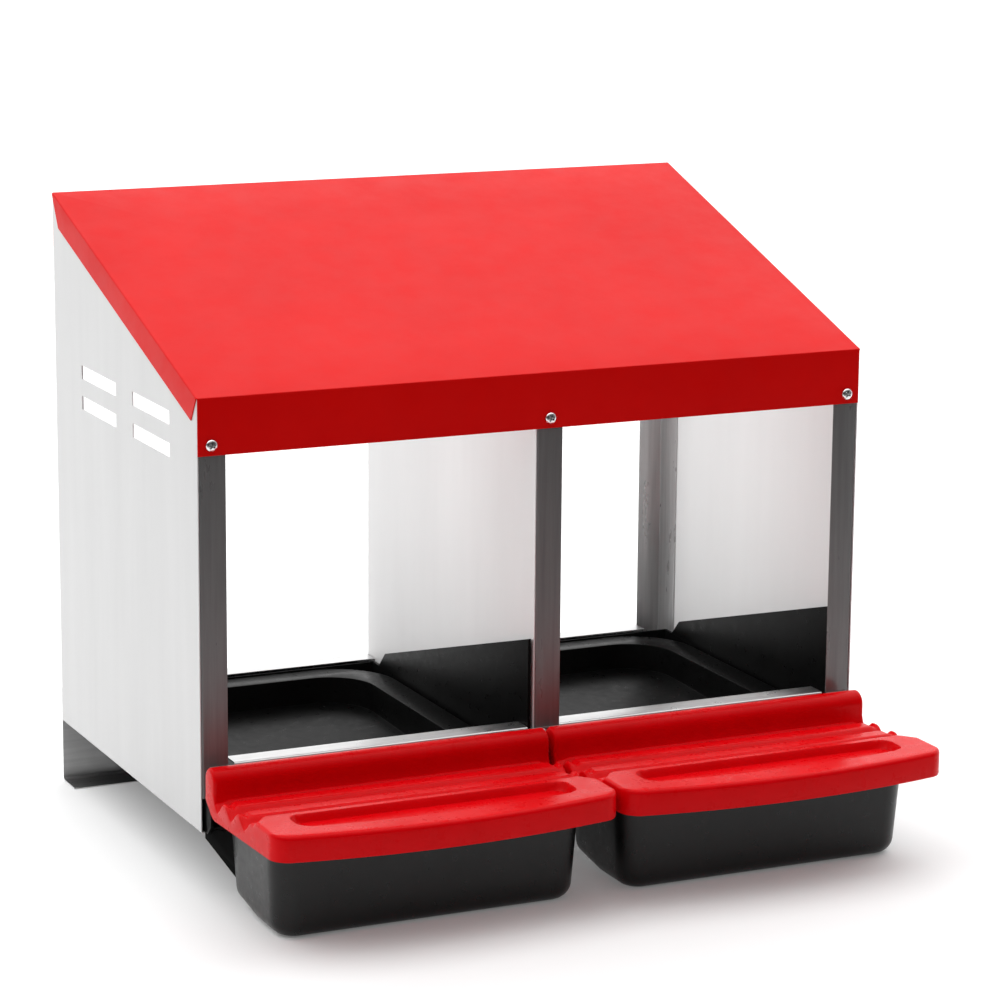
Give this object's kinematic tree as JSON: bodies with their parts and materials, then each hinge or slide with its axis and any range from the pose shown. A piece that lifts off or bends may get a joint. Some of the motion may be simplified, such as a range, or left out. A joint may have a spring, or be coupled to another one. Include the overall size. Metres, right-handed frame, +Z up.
{
  "type": "nesting box",
  "caption": "Free-standing hen nesting box with a sloping roof, side-by-side nests and covered roll-out egg trays.",
  "frame": {"origin": "on the floor, under the middle of the whole object's box", "axes": "+X to the right seen from the front, +Y from the egg trays towards the rear, +Z up"},
  "size_m": [0.622, 0.5602, 0.5488],
  "materials": {
    "red_powder_coat": "satin powder coat",
    "white_sheet": "pale grey coated sheet",
    "galvanised_steel": "galvanised sheet",
    "black_plastic": "matt moulded",
    "red_plastic": "semi-gloss moulded",
    "bright_steel": "bright zinc plated"
  },
  "bodies": {
    "housing": {"roof_panel": "red_powder_coat", "left_side_panel": "white_sheet", "right_side_panel": "white_sheet", "centre_divider": "white_sheet", "divider_runner_left": "galvanised_steel", "front_post_left": "galvanised_steel", "front_post_centre": "galvanised_steel", "front_post_right": "galvanised_steel", "divider_runner_right": "galvanised_steel", "rear_corner_post_left": "galvanised_steel", "rear_corner_post_right": "galvanised_steel", "rear_foot_panel": "galvanised_steel", "front_sill_left": "galvanised_steel", "front_sill_right": "galvanised_steel", "nest_basin_left": "black_plastic", "nest_basin_right": "black_plastic", "nest_pan_left": "black_plastic", "nest_pan_right": "black_plastic", "egg_tray_left": "black_plastic", "egg_tray_right": "black_plastic", "hinge_rod_left": "bright_steel", "hinge_rod_right": "bright_steel", "hinge_bracket_left": "galvanised_steel", "hinge_bracket_centre": "galvanised_steel", "hinge_bracket_right": "galvanised_steel", "roof_front_screws": "bright_steel", "roof_front_nuts": "bright_steel", "roof_rear_screws": "bright_steel", "roof_rear_nuts": "bright_steel", "bracket_rivets": "bright_steel", "rear_panel_rivets": "bright_steel"},
    "lid_left": {"lid_left": "red_plastic"},
    "lid_right": {"lid_right": "red_plastic"}
  },
  "joints": [
    {"name": "lid_left_hinge", "type": "hinge", "parent": "housing", "child": "lid_left", "pos_m": [-0.157, -0.1156, 0.1085], "axis": [-1, 0, 0], "range_deg": [0, 98]},
    {"name": "lid_right_hinge", "type": "hinge", "parent": "housing", "child": "lid_right", "pos_m": [0.154, -0.1156, 0.1085], "axis": [-1, 0, 0], "range_deg": [0, 98]}
  ]
}
